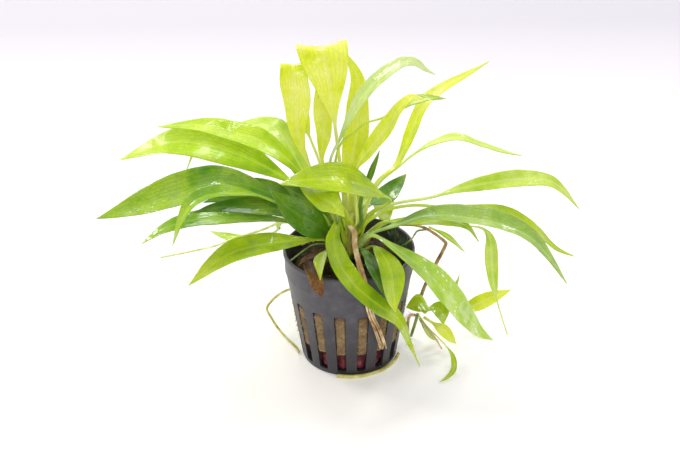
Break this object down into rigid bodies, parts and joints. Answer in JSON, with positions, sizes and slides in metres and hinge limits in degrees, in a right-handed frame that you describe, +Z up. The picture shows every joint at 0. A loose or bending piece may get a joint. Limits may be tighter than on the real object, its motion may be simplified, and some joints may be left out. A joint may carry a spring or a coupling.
{
  "type": "potted aquarium plant",
  "caption": "Rosette of long narrow arching leaves in a slotted black net pot filled with fibrous wool, with a runner and a small plantlet hanging over the rim.",
  "frame": {"origin": "centre of the pot's flat base", "axes": "+Z up, -Y towards the front of the picture, +X to its right"},
  "size_m": [0.185, 0.0993, 0.1295],
  "materials": {
    "pot_plastic": "moulded, semi-matt",
    "rock_wool": "coarse matted fibres",
    "red_disc": "dull, porous",
    "crown": "plant tissue, sheathed",
    "leaf_bright": "wet, glossy, translucent",
    "leaf_dark": "wet, glossy, translucent",
    "dead_leaf": "withered",
    "stem_brown": "fibrous",
    "stem_olive": "plant tissue",
    "stem_pale": "plant tissue",
    "root_yellow": "wet root"
  },
  "bodies": {
    "root": {"crown": "crown", "dead_leaf": "dead_leaf", "dried_stem": "stem_brown", "leaf_back_1": "leaf_bright", "leaf_back_2": "leaf_bright", "leaf_back_3": "leaf_bright", "leaf_back_4": "leaf_bright", "leaf_centre_1": "leaf_bright", "leaf_centre_2": "leaf_bright", "leaf_front_1": "leaf_bright", "leaf_front_2": "leaf_bright", "leaf_front_3": "leaf_bright", "leaf_front_4": "leaf_dark", "leaf_left_1": "leaf_bright", "leaf_left_10": "leaf_dark", "leaf_left_11": "leaf_dark", "leaf_left_2": "leaf_bright", "leaf_left_3": "leaf_bright", "leaf_left_4": "leaf_dark", "leaf_left_5": "leaf_bright", "leaf_left_6": "leaf_dark", "leaf_left_7": "leaf_dark", "leaf_left_8": "leaf_bright", "leaf_left_9": "leaf_bright", "leaf_right_1": "leaf_bright", "leaf_right_2": "leaf_bright", "leaf_right_3": "leaf_bright", "leaf_right_4": "leaf_bright", "leaf_right_5": "leaf_bright", "leaf_right_6": "leaf_bright", "leaf_right_7": "leaf_bright", "leaf_right_8": "leaf_bright", "leaf_small_1": "leaf_dark", "leaf_small_2": "leaf_dark", "leaf_upright_1": "leaf_bright", "leaf_upright_2": "leaf_bright", "leaf_upright_3": "leaf_bright", "leaf_upright_4": "leaf_bright", "leaf_upright_5": "leaf_bright", "leaf_upright_6": "leaf_bright", "leaf_upright_7": "leaf_bright", "leaf_upright_8": "leaf_bright", "net_pot": "pot_plastic", "plantlet_leaf_1": "leaf_bright", "plantlet_leaf_2": "leaf_bright", "plantlet_leaf_3": "leaf_bright", "plantlet_leaf_4": "leaf_bright", "plantlet_leaf_5": "leaf_bright", "plantlet_leaf_6": "leaf_bright", "plantlet_stem_1": "stem_brown", "plantlet_stem_2": "stem_olive", "red_disc": "red_disc", "rock_wool": "rock_wool", "root_foot": "root_yellow", "root_loop": "root_yellow", "runner": "stem_brown", "runner_leaf": "leaf_bright", "stolon_left_1": "stem_pale", "stolon_left_2": "stem_pale", "young_leaf_left": "leaf_bright"}
  },
  "joints": []
}
